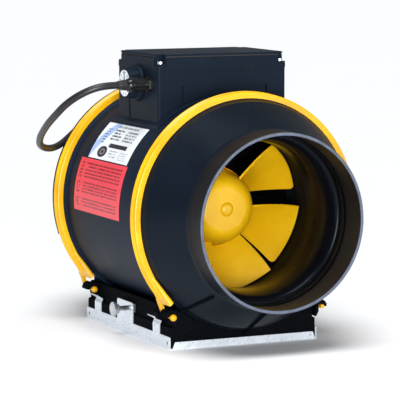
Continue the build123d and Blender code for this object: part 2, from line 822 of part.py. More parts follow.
def strap_section():
    """Two rounded ridges on a flat band, the lower at the inlet side, heights as fan radii."""
    Polyline(
        (-strap_half, STRAP_SHOULDER_R),
        (-strap_half, STRAP_INNER_R),
        (strap_half, STRAP_INNER_R),
        (strap_half, STRAP_SHOULDER_R + 1),
    )
    Spline(
        (strap_half, STRAP_SHOULDER_R + 1),
        (4.2, STRAP_CROWN_R),
        (0.5, STRAP_GROOVE_R),
        (-3.8, STRAP_LOW_R),
        (-strap_half, STRAP_SHOULDER_R),
        tangents=((0, 1), (0, -1)),
    )


with BuildPart() as strap:
    with BuildSketch(meridian_at(-STRAP_END_ANGLE)):
        with BuildLine():
            strap_section()
        make_face()
    revolve(axis=FAN_AXIS, revolution_arc=-(180 + 2 * STRAP_END_ANGLE))
    for side in (-1, 1):
        # the wedge rises out of the band's low ridge and widens towards the bar
        for angle, middle_r, half_width, thickness in (
            (28, 133.5, strap_half - 0.5, 3.6),
            (STRAP_END_ANGLE, strap_end_r + 0.6, wedge_half, 6.4),
        ):
            with BuildSketch(meridian_at(-90 + side * (90 - angle))):
                with Locations((0, middle_r)):
                    RectangleRounded(2 * half_width, thickness, 0.375 * thickness)
        loft()
        # leg on one edge of the wedge, running down to the bar
        end_turn = math.radians(STRAP_END_ANGLE - 1)
        end_x = side * strap_end_r * math.cos(end_turn)
        end_z = AXIS_Z - strap_end_r * math.sin(end_turn)
        with BuildSketch(Plane.XZ.offset(-(leg_y + 2.4))):
            with BuildLine():
                Line((end_x + side * 1.5, end_z), (side * HOOK_X, HOOK_Z))
                offset(amount=2.2)
            make_face()
        extrude(amount=4.8)
        with BuildSketch(Plane.XZ.offset(-(leg_y + 2.4))):
            with Locations((side * HOOK_X, HOOK_Z)):
                Circle(STRAP_BAR_R)
        extrude(amount=leg_y + 14)
        # the bar's bead, at the inlet side on the left and at the outlet side on the right
        bead_y, bead_r = (-12.5, 3.9) if side < 0 else (15.2, 3.3)
        with Locations((side * HOOK_X, bead_y, HOOK_Z)):
            Sphere(bead_r)

for strap_name, strap_y in (("front_strap", -JOINT_Y), ("rear_strap", JOINT_Y)):
    with BuildPart() as placed_strap:
        add(strap.part.translate((0, strap_y, 0)))
    save(placed_strap.part, strap_name)

# ---------------------------------------------------------------- terminal box
inner_half_x = BOX_HALF_X - BOX_WALL
inner_length_y = BOX_LENGTH_Y - 2 * BOX_WALL
corner_x = BOX_HALF_X - NOTCH / 2
corner_dy = BOX_LENGTH_Y - NOTCH

with BuildPart() as box_base:
    with BuildSketch(Plane.XY.offset(235)):
        with Locations((0, BOX_MID_Y)):
            RectangleRounded(2 * BOX_HALF_X, BOX_LENGTH_Y, 3)
            Rectangle(2 * inner_half_x, inner_length_y, mode=Mode.SUBTRACT)
    extrude(amount=BOX_TOP_Z - 235)
    # corner posts
    with BuildSketch(Plane.XY.offset(235)):
        with Locations((0, BOX_MID_Y)):
            with GridLocations(2 * corner_x - 3, corner_dy - 3, 2, 2):
                Rectangle(NOTCH + 2, NOTCH + 2)
    extrude(amount=BOX_TOP_Z - 235)
    # rim band around the top
    with BuildSketch(Plane.XY.offset(309)):
        with Locations((0, BOX_MID_Y)):
            RectangleRounded(2 * BOX_HALF_X + 1.6, BOX_LENGTH_Y + 1.6, 3.5)
            Rectangle(2 * inner_half_x, inner_length_y, mode=Mode.SUBTRACT)
    extrude(amount=BOX_TOP_Z - 309)
    # curved floor that follows the barrel
    with BuildSketch(Plane.XZ.offset(-BOX_Y[1] + 1)):
        with Locations((0, AXIS_Z)):
            Circle(PLINTH_R + 3.2)
        with Locations((0, 300)):
            Rectangle(2 * inner_half_x + 1, 140, mode=Mode.INTERSECT)
    extrude(amount=BOX_LENGTH_Y - 2)
    with BuildSketch(Plane.XZ.offset(-BOX_Y[1] - 20)):
        with Locations((0, AXIS_Z)):
            Circle(PLINTH_R + 0.1)
    extrude(amount=BOX_LENGTH_Y + 40, mode=Mode.SUBTRACT)
    # corner notches for the lid's lugs, and their screw holes
    with BuildSketch(Plane.XY.offset(NOTCH_Z)):
        with Locations((0, BOX_MID_Y)):
            with GridLocations(2 * corner_x + 2, corner_dy + 2, 2, 2):
                Rectangle(NOTCH + 2, NOTCH + 2)
    extrude(amount=20, mode=Mode.SUBTRACT)
    with BuildSketch(Plane.XY.offset(NOTCH_Z)):
        with Locations((0, BOX_MID_Y)):
            with GridLocations(2 * corner_x, corner_dy, 2, 2):
                Circle(1.75)
    extrude(amount=-14, mode=Mode.SUBTRACT)
    # keyways in the front wall
    with BuildSketch(Plane.XZ.offset(-BOX_Y[0])):
        with Locations((-50.5, 281), (55.5, 281)):
            Rectangle(3, 20)
    extrude(amount=-1.8, mode=Mode.SUBTRACT)
    # groove with a small latch at its foot, on the left wall
    with BuildSketch(side_plane(-BOX_HALF_X)):
        with Locations((25, 262)):
            Rectangle(4, 36)
    extrude(amount=1.6, mode=Mode.SUBTRACT)
    # wall holes: gland and speed switch
    with BuildSketch(side_plane(-BOX_HALF_X - 1)):
        with Locations((GLAND_Y, GLAND_Z)):
            Circle(6.1)
        with Locations((KNOB_Y, KNOB_Z)):
            Circle(5.1)
    extrude(amount=10, mode=Mode.SUBTRACT)
    # floor hole for the motor lead
    with BuildSketch(Plane(origin=(0, 40, AXIS_Z), z_dir=(0, 0, 1))):
        Circle(6.5)
    extrude(amount=145, mode=Mode.SUBTRACT)
save(box_base.part, "box_base")

with BuildPart() as box_gasket:
    with BuildSketch(Plane.XY.offset(BOX_TOP_Z)):
        with Locations((0, BOX_MID_Y)):
            Rectangle(2 * BOX_HALF_X - 3, BOX_LENGTH_Y - 3)
            Rectangle(2 * inner_half_x + 0.6, inner_length_y + 0.6, mode=Mode.SUBTRACT)
            with GridLocations(2 * corner_x - 3, corner_dy - 3, 2, 2):
                Rectangle(NOTCH + 2, NOTCH + 2)
            with GridLocations(2 * corner_x + 4, corner_dy + 4, 2, 2):
                Rectangle(NOTCH + 4.2, NOTCH + 4.2, mode=Mode.SUBTRACT)
    extrude(amount=GASKET_TOP_Z - BOX_TOP_Z)
save(box_gasket.part, "box_gasket")

lug_top_z = NOTCH_Z + 2.6
with BuildPart() as box_lid:
    with BuildSketch(Plane.XY.offset(GASKET_TOP_Z)):
        with Locations((0, BOX_MID_Y)):
            RectangleRounded(2 * BOX_HALF_X + 1.6, BOX_LENGTH_Y + 1.6, 4)
    extrude(amount=LID_TOP_Z - GASKET_TOP_Z)
    fillet(box_lid.faces().sort_by(Axis.Z)[-1].edges(), 1.6)
    # spigot that locates the lid inside the walls
    with BuildSketch(Plane.XY.offset(BOX_TOP_Z - 3)):
        with Locations((0, BOX_MID_Y)):
            Rectangle(2 * inner_half_x - 1, inner_length_y - 1)
            Rectangle(2 * inner_half_x - 4, inner_length_y - 4, mode=Mode.SUBTRACT)
            with GridLocations(2 * corner_x - 3, corner_dy - 3, 2, 2):
                Rectangle(NOTCH + 6, NOTCH + 6, mode=Mode.SUBTRACT)
    extrude(amount=GASKET_TOP_Z - BOX_TOP_Z + 3.2)
    # corner lugs, cut open to the outside above their floors
    with BuildSketch(Plane.XY.offset(NOTCH_Z + 0.1)):
        with Locations((0, BOX_MID_Y)):
            with GridLocations(2 * corner_x, corner_dy, 2, 2):
                Rectangle(NOTCH - 0.4, NOTCH - 0.4)
    extrude(amount=LID_TOP_Z - NOTCH_Z - 1)
    with BuildSketch(Plane.XY.offset(lug_top_z)):
        with Locations((0, BOX_MID_Y)):
            with GridLocations(2 * corner_x + 3.4, corner_dy + 3.4, 2, 2):
                Rectangle(NOTCH + 1.4, NOTCH + 1.4)
    extrude(amount=20, mode=Mode.SUBTRACT)
    with BuildSketch(Plane.XY.offset(NOTCH_Z - 1)):
        with Locations((0, BOX_MID_Y)):
            with GridLocations(2 * corner_x, corner_dy, 2, 2):
                Circle(2.1)
    extrude(amount=6, mode=Mode.SUBTRACT)
save(box_lid.part, "box_lid")

with BuildPart() as lid_screws:
    with BuildSketch(Plane.XY.offset(lug_top_z)):
        with Locations((0, BOX_MID_Y)):
            with GridLocations(2 * corner_x, corner_dy, 2, 2):
                Circle(3.4)
    extrude(amount=2.8)
    with BuildSketch(Plane.XY.offset(lug_top_z)):
        with Locations((0, BOX_MID_Y)):
            with GridLocations(2 * corner_x, corner_dy, 2, 2):
                Circle(1.7)
    extrude(amount=-13)
    with BuildSketch(Plane.XY.offset(lug_top_z + 1.4)):
        with Locations((0, BOX_MID_Y)):
            with GridLocations(2 * corner_x, corner_dy, 2, 2):
                Rectangle(4.4, 0.9)
                Rectangle(0.9, 4.4)
    extrude(amount=3, mode=Mode.SUBTRACT)
save(lid_screws.part, "lid_screws")

# ---------------------------------------------------------------- inside the terminal box
floor_z = AXIS_Z + PLINTH_R + 3.4
with BuildPart() as terminal_block:
    with BuildSketch(Plane.XY.offset(floor_z)):
        with Locations((-14, -34)):
            Rectangle(60, 20)
    extrude(amount=18)
    with BuildSketch(Plane.XY.offset(floor_z + 18)):
        with Locations((-14, -34)):
            with GridLocations(10, 11, 6, 2):
                Circle(2.6)
    extrude(amount=-6, mode=Mode.SUBTRACT)
save(terminal_block.part, "terminal_block")

with BuildPart() as capacitor:
    with BuildSketch(side_plane(-32)):
        with Locations((8, floor_z + 16)):
            Circle(15)
    extrude(amount=62)
    chamfer(capacitor.edges().filter_by(GeomType.CIRCLE), 1.2)
save(capacitor.part, "capacitor")

with BuildPart() as speed_switch:
    with BuildSketch(side_plane(-inner_half_x + 0.1)):
        with Locations((KNOB_Y, KNOB_Z)):
            RectangleRounded(24, 24, 2)
    extrude(amount=20)
    with BuildSketch(side_plane(-BOX_HALF_X - 0.2)):
        with Locations((KNOB_Y, KNOB_Z)):
            Circle(4.9)
    extrude(amount=8)
    with BuildSketch(side_plane(-BOX_HALF_X - 1)):
        with Locations((KNOB_Y, KNOB_Z)):
            Circle(SPINDLE_R + RUNNING_GAP)
    extrude(amount=16, mode=Mode.SUBTRACT)
save(speed_switch.part, "speed_switch")

with BuildPart() as lead_grommet:
    with BuildSketch(Plane(origin=(0, 40, AXIS_Z), z_dir=(0, 0, 1)).offset(123)):
        Circle(6.4)
    extrude(amount=12)
    with BuildSketch(Plane(origin=(0, 40, AXIS_Z), z_dir=(0, 0, 1)).offset(133)):
        Circle(8.5)
    extrude(amount=2.5)
    with BuildSketch(Plane(origin=(0, 40, AXIS_Z), z_dir=(0, 0, 1)).offset(120)):
        Circle(3.05)
    extrude(amount=20, mode=Mode.SUBTRACT)
save(lead_grommet.part, "lead_grommet")

with BuildPart() as motor_lead:
    with BuildSketch(Plane(origin=(0, 40, AXIS_Z), z_dir=(0, 0, 1)).offset(40)):
        Circle(3)
    extrude(amount=98)
save(motor_lead.part, "motor_lead")

# ---------------------------------------------------------------- speed knob
with BuildPart() as knob_spindle:
    with BuildSketch(side_plane(-92)):
        with Locations((KNOB_Y, KNOB_Z)):
            Circle(SPINDLE_R)
    extrude(amount=24)
save(knob_spindle.part, "knob_spindle")

with BuildPart() as speed_knob:
    with BuildSketch(KNOB_PLANE):
        with BuildLine():
            Polyline(
                (-82.2, SPINDLE_R + 0.02),
                (-82.2, KNOB_SKIRT_R),
                (-85.2, KNOB_SKIRT_R - 0.8),
                (-86.2, KNOB_FACE_R + 2.4),
                (-97.2, KNOB_FACE_R + 0.6),
                (-98.0, KNOB_FACE_R - 0.4),
                (-97.0, KNOB_FACE_R - 0.6),
                (-97.0, 0),
                (-92.1, 0),
                (-92.1, SPINDLE_R + 0.02),
                close=True,
            )
        make_face()
    revolve(axis=KNOB_AXIS)
    # finger flutes around the grip
    with BuildSketch(side_plane(-99)):
        with Locations((KNOB_Y, KNOB_Z)):
            with PolarLocations(KNOB_FACE_R + 3.3, 12):
                Circle(2.4)
    extrude(amount=12.6, mode=Mode.SUBTRACT)
save(speed_knob.part, "speed_knob")

with BuildPart() as knob_dial:
    with BuildSketch(side_plane(-98.1)):
        with Locations((KNOB_Y, KNOB_Z)):
            Circle(KNOB_FACE_R - 0.8)
    extrude(amount=1.1)
    with BuildSketch(side_plane(-98.1)):
        with Locations((KNOB_Y, KNOB_Z + 8)):
            Rectangle(1.6, 10)
    extrude(amount=0.4, mode=Mode.SUBTRACT)
save(knob_dial.part, "knob_dial")

# ---------------------------------------------------------------- cable gland
with BuildPart() as gland_body:
    with BuildSketch(side_plane(-86.4)):
        with Locations((GLAND_Y, GLAND_Z)):
            RegularPolygon(9.2, 6, rotation=30)
    extrude(amount=5.8)
    with BuildSketch(GLAND_PLANE):
        with BuildLine():
            Polyline(
                (-70, CORD_R + 0.1),
                (-70, 6),
                (-86, 6),
                (-86, 6.8),
                (-93, 6.8),
                (-93, CORD_R + 0.1),
                close=True,
            )
        make_face()
    revolve(axis=GLAND_AXIS)
    with BuildSketch(side_plane(-95)):
        with Locations((GLAND_Y, GLAND_Z)):
            Circle(CORD_R + 0.1)
    extrude(amount=30, mode=Mode.SUBTRACT)
save(gland_body.part, "gland_body")

with BuildPart() as gland_locknut:
    with BuildSketch(side_plane(-inner_half_x + 0.1)):
        with Locations((GLAND_Y, GLAND_Z)):
            RegularPolygon(7.4, 6, rotation=30)
            Circle(6.05, mode=Mode.SUBTRACT)
    extrude(amount=4)
save(gland_locknut.part, "gland_locknut")

with BuildPart() as gland_nut:
    with BuildSketch(GLAND_PLANE):
        with BuildLine():
            Polyline((-89, 6.9), (-89, 8.1), (-104, 8.1))
            ThreePointArc((-104, 8.1), (-110.4, 6.9), (-112.5, 5.2))
            Polyline(
                (-112.5, 5.2),
                (-112.5, BOOT_R + 0.05),
                (-94, BOOT_R + 0.05),
                (-94, 6.9),
                (-89, 6.9),
            )
        make_face()
    revolve(axis=GLAND_AXIS)
    # grip ribs
    with BuildSketch(side_plane(-103)):
        with Locations((GLAND_Y, GLAND_Z)):
            with PolarLocations(8.7, 12):
                Circle(1.0)
    extrude(amount=12, mode=Mode.SUBTRACT)
save(gland_nut.part, "gland_nut")

with BuildPart() as gland_boot:
    with BuildSketch(GLAND_PLANE):
        with BuildLine():
            Polyline(
                (-95, CORD_R + 0.02),
                (-95, BOOT_R),
                (-112.6, BOOT_R),
                (-112.6, 6.2),
                (GLAND_END_X, CORD_R + 0.85),
                (GLAND_END_X, 0),
                (GLAND_END_X + 3, 0),
                (GLAND_END_X + 3, CORD_R + 0.02),
                close=True,
            )
        make_face()
    revolve(axis=GLAND_AXIS)
    # flex rings
    for ring_x in (-114.6, -117.0, -119.4):
        with BuildSketch(side_plane(ring_x)):
            with Locations((GLAND_Y, GLAND_Z)):
                Circle(8)
                Circle(BOOT_R, mode=Mode.SUBTRACT)
        extrude(amount=1.1, mode=Mode.SUBTRACT)
save(gland_boot.part, "gland_boot")

with BuildPart() as supply_lead:
    # the stretch of the lead that the gland holds, from the boot into the box
    with BuildSketch(side_plane(GLAND_END_X + 3)):
        with Locations((GLAND_Y, GLAND_Z)):
            Circle(CORD_R)
    extrude(amount=-GLAND_END_X - 3 - 62)
save(supply_lead.part, "supply_lead")

# ---------------------------------------------------------------- free lead, coil and plug
cord_route = [
    (GLAND_END_X, GLAND_Y, GLAND_Z),
    (-137, -37, 293),
    (-153, -33, 289),
    (-167, -25, 281),
    (-176.5, -12, 270.5),
    (-180, 5, 259),
    (-180.5, 26, 248.5),
    (-178.5, 48, 238),
    (-175, 70, 227),
    (-168, 90, 217),
    (-155, 107, 210.5),
    (-139, 121, 208.5),
    (-123, 133, 212),
    (-108, 144, 219.5),
    (-92, 152, 229.5),
    (-74, 157, 242.5),
    (-53.5, 160, 254),
    (-30.5, 160.5, 262.5),
    (-6, 160, 266.5),
    (18.5, 160.5, 265.2),
    (42, 160, 258.8),
    (64, 160.5, 247.6),
    (83, 160, 232),
    (98.5, 160.5, 213),
    (109.7, 160, 191),
    (116, 160.5, 167.5),
    (118, 161, 143),
    (118, 163, 119.5),
    (117.5, 164, 96),
    (117, 167, 73),
    (116, 172, 51.5),
    (114, 181, 32),
    (111, 194, 16.5),
    (107, 211, 6.5),
    (103, 230, 4.25),
    (100.5, 248, 4.4),
    (100, 266, 4.6),
]
vectors = [Vector(point) for point in cord_route]
runs = [b - a for a, b in zip(vectors, vectors[1:])]
turns = [a.get_angle(b) for a, b in zip(runs, runs[1:])]
cord_radii = [
    0.45 * min(a.length, b.length) / math.tan(math.radians(turn) / 2)
    for a, b, turn in zip(runs, runs[1:], turns)
]
print("cord runs", [round(run.length, 1) for run in runs])
print("cord turns", [round(turn, 1) for turn in turns])
print("cord radii", [round(radius, 1) for radius in cord_radii])

with BuildPart() as power_cord:
    with BuildLine() as cord_line:
        FilletPolyline(*cord_route, radius=cord_radii)
    with BuildSketch(Plane(origin=cord_route[0], z_dir=runs[0])):
        Circle(CORD_R)
    sweep()
save(power_cord.part, "power_cord")
cord_length = sum(edge.length for edge in cord_line.line.edges())
print("cord tube length", round(cord_length, 1))
print("volume ratio", power_cord.part.volume / (math.pi * CORD_R**2 * cord_length))

with BuildPart() as cord_coil:
    coil_plane = Plane(origin=(*COIL_CENTRE, 0), x_dir=(1, 0, 0), z_dir=(0, -1, 0))
    with BuildSketch(coil_plane):
        with Locations((COIL_MEAN_R, COIL_HEIGHT / 2)):
            RectangleRounded(COIL_R_OUT - COIL_R_IN, COIL_HEIGHT, 3.9)
    revolve(axis=Axis((*COIL_CENTRE, 0), (0, 0, 1)))
save(cord_coil.part, "cord_coil")

taper_y = PLUG_Y - PLUG_SLEEVE
grip_y = taper_y - PLUG_TAPER
face_y = grip_y - PLUG_GRIP_TAPER - PLUG_GRIP
with BuildPart() as plug_body:
    with BuildSketch(Plane.XZ.offset(-PLUG_Y)):
        with Locations((PLUG_X, PLUG_Z)):
            Circle(CORD_R + 0.2)
    extrude(amount=PLUG_SLEEVE)
    for start_y, end_y, start_size, end_size, corner in (
        (taper_y, grip_y, 2 * CORD_R + 0.4, 12.8, 0),
        (grip_y + 1, grip_y - PLUG_GRIP_TAPER, 17, 26, 5),
    ):
        for section_y, size in ((start_y, start_size), (end_y, end_size)):
            with BuildSketch(Plane.XZ.offset(-section_y)):
                with Locations((PLUG_X, PLUG_Z)):
                    if corner:
                        RectangleRounded(size, size, corner)
                    else:
                        Circle(size / 2)
        loft()
    with BuildSketch(Plane.XZ.offset(-(grip_y - PLUG_GRIP_TAPER))):
        with Locations((PLUG_X, PLUG_Z)):
            RectangleRounded(26, 26, 5)
    extrude(amount=PLUG_GRIP)
save(plug_body.part, "plug_body")

with BuildPart() as plug_pins:
    with BuildSketch(Plane.XZ.offset(-face_y)):
        with Locations((PLUG_X - 6.35, PLUG_Z + 2), (PLUG_X + 6.35, PLUG_Z + 2)):
            Rectangle(1.5, 6.4)
        with Locations((PLUG_X, PLUG_Z - 6.5)):
            Circle(2.4)
    extrude(amount=PLUG_PIN)
save(plug_pins.part, "plug_pins")

# ---------------------------------------------------------------- stickers
for label_name, label_y, label_angles in (
    ("rating_label", (-47.0, 66.0), (133.2, 155.2)),
    ("notice_label", (-52.0, 82.0), (155.9, 184.0)),
):
    with BuildPart() as label:
        with BuildSketch(meridian_at(label_angles[0])):
            with Locations(((label_y[0] + label_y[1]) / 2, BARREL_R + 0.2)):
                Rectangle(label_y[1] - label_y[0], 0.3)
        revolve(axis=FAN_AXIS, revolution_arc=-(label_angles[1] - label_angles[0]))
    save(label.part, label_name)
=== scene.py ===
import math

import bmesh
import bpy
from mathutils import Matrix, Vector


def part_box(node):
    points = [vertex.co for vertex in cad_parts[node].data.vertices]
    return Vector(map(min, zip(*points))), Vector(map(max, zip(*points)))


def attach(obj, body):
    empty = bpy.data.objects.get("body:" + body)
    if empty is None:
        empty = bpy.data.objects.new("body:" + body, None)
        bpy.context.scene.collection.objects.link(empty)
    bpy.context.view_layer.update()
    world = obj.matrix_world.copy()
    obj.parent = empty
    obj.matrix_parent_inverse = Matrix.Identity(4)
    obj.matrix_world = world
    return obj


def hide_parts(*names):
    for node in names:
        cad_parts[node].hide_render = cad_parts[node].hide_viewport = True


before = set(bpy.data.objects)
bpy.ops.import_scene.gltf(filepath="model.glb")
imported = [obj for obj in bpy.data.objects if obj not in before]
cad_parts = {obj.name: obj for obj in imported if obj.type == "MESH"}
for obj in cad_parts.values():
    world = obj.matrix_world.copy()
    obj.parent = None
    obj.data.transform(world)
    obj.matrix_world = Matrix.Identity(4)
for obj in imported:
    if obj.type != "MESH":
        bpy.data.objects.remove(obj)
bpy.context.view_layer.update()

# ---------------------------------------------------------------- driving values, in metres

FAN_AXIS_Z = 0.149
CORD_D = 0.0083
COIL_CENTRE = Vector((0.052, 0.266, 0.0))
COIL_R_INNER = 0.0397
COIL_R_OUTER = 0.0481
COIL_LIFT = 0.0013  # the tie's band passes under the coil
PLUG_X = 0.003
PLUG_BACK_Y = 0.240
RIM_HIGHLIGHT_FROM_Y = 0.2104  # painted highlight: the paler band along the rim of both spigots starts here
RIM_HIGHLIGHT_FULL_Y = 0.2114
FLARE_FROM_Y = -0.125  # the nozzle's flare round the blades
FLARE_FULL_Y = -0.095

# ---------------------------------------------------------------- other driving values

CAMERA_AT = (-1.20326, -2.57586, 0.48654)
CAMERA_AIM = (-0.0231, -0.045, 0.1585)
CAMERA_LENS = 220.0
MOUTH_GLOSS = 0.24  # roughness of the nozzle's mouth
FLARE_GLOSS = 0.85
DIAL_MARKS = 12
INK = (0.02, 0.02, 0.03)


# ---------------------------------------------------------------- camera


def aim(item, target):
    """Turns a camera or lamp towards a point, with no roll."""
    item.rotation_euler = (Vector(target) - item.location).to_track_quat("-Z", "Y").to_euler()


def make_camera():
    data = bpy.data.cameras.new("camera")
    camera = bpy.data.objects.new("camera", data)
    bpy.context.collection.objects.link(camera)
    camera.location = CAMERA_AT
    aim(camera, CAMERA_AIM)
    data.lens = CAMERA_LENS
    data.sensor_width = 36.0
    data.clip_end = 60.0
    bpy.context.scene.camera = camera


make_camera()


# ---------------------------------------------------------------- mains cord


def smooth_step(value):
    value = min(max(value, 0.0), 1.0)
    return value * value * (3 - 2 * value)


def coil_points(turns=3.5, per_turn=16):
    """Turns of the stored coil: outer then inner on the floor, then inner and outer on top of them."""
    correction = 1 / (0.75 + 0.25 * math.cos(math.tau / per_turn))
    points = []
    for step in range(1, int(turns * per_turn) + 1):
        turn = step / per_turn
        inward = smooth_step((turn - 5 / 6) * 6) - smooth_step((turn - 2.5) * 6)
        rise = smooth_step((turn - 5 / 3) * 6)
        radius = COIL_R_OUTER + (COIL_R_INNER - COIL_R_OUTER) * inward
        height = COIL_LIFT + CORD_D * (0.505 + 1.01 * rise)
        angle = math.tau * turn
        points.append(COIL_CENTRE + Vector((
            radius * correction * math.cos(angle),
            radius * correction * math.sin(angle),
            height,
        )))
    return points


CORD_ROUTE = [
    (-0.122, -0.037, 0.293),
    (-0.137, -0.037, 0.293),
    (-0.153, -0.033, 0.289),
    (-0.167, -0.025, 0.281),
    (-0.1765, -0.012, 0.2705),
    (-0.180, 0.005, 0.259),
    (-0.1805, 0.026, 0.2485),
    (-0.1785, 0.048, 0.238),
    (-0.175, 0.070, 0.227),
    (-0.168, 0.090, 0.217),
    (-0.155, 0.107, 0.2105),
    (-0.139, 0.121, 0.2085),
    (-0.123, 0.133, 0.212),
    (-0.108, 0.144, 0.2195),
    (-0.092, 0.152, 0.2295),
    (-0.074, 0.157, 0.2425),
    (-0.0535, 0.160, 0.254),
    (-0.0305, 0.1605, 0.2625),
    (-0.006, 0.160, 0.2665),
    (0.0185, 0.1605, 0.2652),
    (0.042, 0.160, 0.2588),
    (0.064, 0.1605, 0.2476),
    (0.083, 0.160, 0.232),
    (0.0985, 0.1605, 0.213),
    (0.1097, 0.160, 0.191),
    (0.116, 0.1605, 0.1675),
    (0.118, 0.161, 0.143),
    (0.118, 0.163, 0.1195),
    (0.1175, 0.164, 0.096),
    (0.117, 0.167, 0.073),
    (0.116, 0.172, 0.0515),
    (0.114, 0.181, 0.032),
    (0.111, 0.194, 0.0165),
    (0.107, 0.211, 0.0065),
    (0.103, 0.230, 0.00425),
    (0.1005, 0.248, 0.0044),
    (0.100, 0.266, 0.0046),
]


def make_cord():
    data = bpy.data.curves.new("power_lead", "CURVE")
    data.dimensions = "3D"
    data.bevel_depth = CORD_D / 2
    data.bevel_resolution = 6
    data.resolution_u = 6
    data.use_fill_caps = True
    points = [Vector(point) for point in CORD_ROUTE] + coil_points()
    points.append(Vector((PLUG_X, PLUG_BACK_Y, points[-1].z)))
    spline = data.splines.new("NURBS")
    spline.points.add(len(points) - 1)
    for knot, point in zip(spline.points, points):
        knot.co = (*point, 1.0)
    spline.order_u = 3
    spline.use_endpoint_u = True
    cord = bpy.data.objects.new("power_lead", data)
    bpy.context.collection.objects.link(cord)
    return cord


power_lead = make_cord()


# ---------------------------------------------------------------- materials


class Shade:
    """One material and short ways to add nodes to it, placed in the object's own metres."""

    def __init__(
        self, name, color, roughness, metallic=0.0, coat=0.0, specular=0.5, gleam=(1.0, 1.0, 1.0)
    ):
        self.material = bpy.data.materials.new(name)
        self.material.use_nodes = True
        self.tree = self.material.node_tree
        self.surface = self.tree.nodes["Principled BSDF"]
        self.place = self.tree.nodes.new("ShaderNodeTexCoord").outputs["Object"]
        self.color = color
        self.roughness = roughness
        self.surface.inputs["Base Color"].default_value = (*color, 1.0)
        self.surface.inputs["Roughness"].default_value = roughness
        self.surface.inputs["Metallic"].default_value = metallic
        self.surface.inputs["Coat Weight"].default_value = coat
        self.surface.inputs["Coat Roughness"].default_value = 0.14
        self.surface.inputs["Specular IOR Level"].default_value = specular
        self.surface.inputs["Specular Tint"].default_value = (*gleam, 1.0)

    def put(self, value, socket):
        """Links a socket, or sets a plain value."""
        if isinstance(value, bpy.types.NodeSocket):
            self.tree.links.new(value, socket)
        else:
            socket.default_value = value

    def node(self, kind, output, inputs=(), **settings):
        made = self.tree.nodes.new(kind)
        for key, value in settings.items():
            setattr(made, key, value)
        for key, value in dict(inputs).items():
            self.put(value, made.inputs[key])
        return made.outputs[output]

    def calc(self, operation, *values, clamp=False):
        return self.node(
            "ShaderNodeMath", 0, dict(enumerate(values)), operation=operation, use_clamp=clamp
        )

    def stretched(self, scale):
        return self.node("ShaderNodeMapping", 0, {"Vector": self.place, "Scale": scale})

    def noise(self, scale, detail=4.0, rough=0.5, vector=None):
        return self.node("ShaderNodeTexNoise", "Fac", {
            "Vector": vector or self.place,
            "Scale": scale,
            "Detail": detail,
            "Roughness": rough,
        })

    def cells(self, scale, output="Distance"):
        return self.node("ShaderNodeTexVoronoi", output, {"Vector": self.place, "Scale": scale})

    def spread(self, value, low, high, out_low=0.0, out_high=1.0):
        return self.node("ShaderNodeMapRange", 0, {
            "Value": value,
            "From Min": low,
            "From Max": high,
            "To Min": out_low,
            "To Max": out_high,
        })

    def mix(self, amount, first, second):
        made = self.tree.nodes.new("ShaderNodeMix")
        made.data_type = "RGBA"
        self.put(amount, made.inputs[0])
        for value, socket in ((first, made.inputs[6]), (second, made.inputs[7])):
            self.put((*value, 1.0) if isinstance(value, tuple) else value, socket)
        return made.outputs[2]

    def paint(self, color):
        self.put(color, self.surface.inputs["Base Color"])

    def polish(self, roughness):
        self.put(roughness, self.surface.inputs["Roughness"])

    def bump(self, *layers):
        """Each layer is a height from 0 to 1 and its depth in metres."""
        normal = None
        for height, depth in layers:
            inputs = {"Height": height, "Distance": depth, "Strength": 1.0}
            if normal is not None:
                inputs["Normal"] = normal
            normal = self.node("ShaderNodeBump", "Normal", inputs)
        self.tree.links.new(normal, self.surface.inputs["Normal"])


def tinted(color, factor):
    return tuple(channel * factor for channel in color)


def rim_highlight_mask(shade):
    """Mask of a painted highlight: a paler band along the rim at both ends of the fan, standing in for
    light caught on the edge.
    """
    split = shade.node("ShaderNodeSeparateXYZ", "Y", {"Vector": shade.place})
    distance = shade.calc("ABSOLUTE", split)
    patches = shade.spread(shade.noise(120, detail=5), 0.2, 0.6, 0.6, 1.0)
    return shade.calc("MULTIPLY", shade.spread(distance, RIM_HIGHLIGHT_FROM_Y, RIM_HIGHLIGHT_FULL_Y), patches)


def moulded_plastic(
    name,
    color,
    roughness,
    grain=0.0009,
    grain_depth=0.00002,
    coat=0.0,
    scuffs=0.25,
    specular=0.13,
    rim_highlight=False,
):
    """Injection-moulded plastic: fine grain, cloudy gloss, faint scuffs and dust."""
    shade = Shade(name, color, roughness, coat=coat, specular=specular, gleam=(0.72, 0.86, 1.0))
    clouds = shade.noise(14, detail=5)
    grain_height = shade.noise(1 / grain, detail=2, rough=0.6)
    scratches = shade.noise(60, detail=6, rough=0.75, vector=shade.stretched((1.0, 0.12, 1.0)))
    scuff = shade.spread(scratches, 0.60, 0.78)
    dust = shade.spread(shade.noise(900, detail=1), 0.70, 0.80)
    dark = shade.mix(shade.spread(clouds, 0.3, 0.7), tinted(color, 0.85), tinted(color, 1.2))
    worn = shade.mix(shade.calc("MULTIPLY", scuff, scuffs), dark, tinted((1, 1, 1.1), max(color) + 0.03))
    body = shade.mix(shade.calc("MULTIPLY", dust, 0.12), worn, (0.3, 0.3, 0.32))
    if rim_highlight:
        # Painted highlight: the rim band is mixed towards a pale blue-grey, standing in for light caught
        # on the edge.
        body = shade.mix(rim_highlight_mask(shade), body, (0.12, 0.14, 0.19))
    shade.paint(body)
    cloudy = shade.spread(clouds, 0.3, 0.7, roughness * 0.88, roughness * 1.12)
    shade.polish(shade.calc("ADD", cloudy, shade.calc("MULTIPLY", scuff, 0.10)))
    shade.bump((grain_height, grain_depth), (clouds, 0.00012))
    return shade


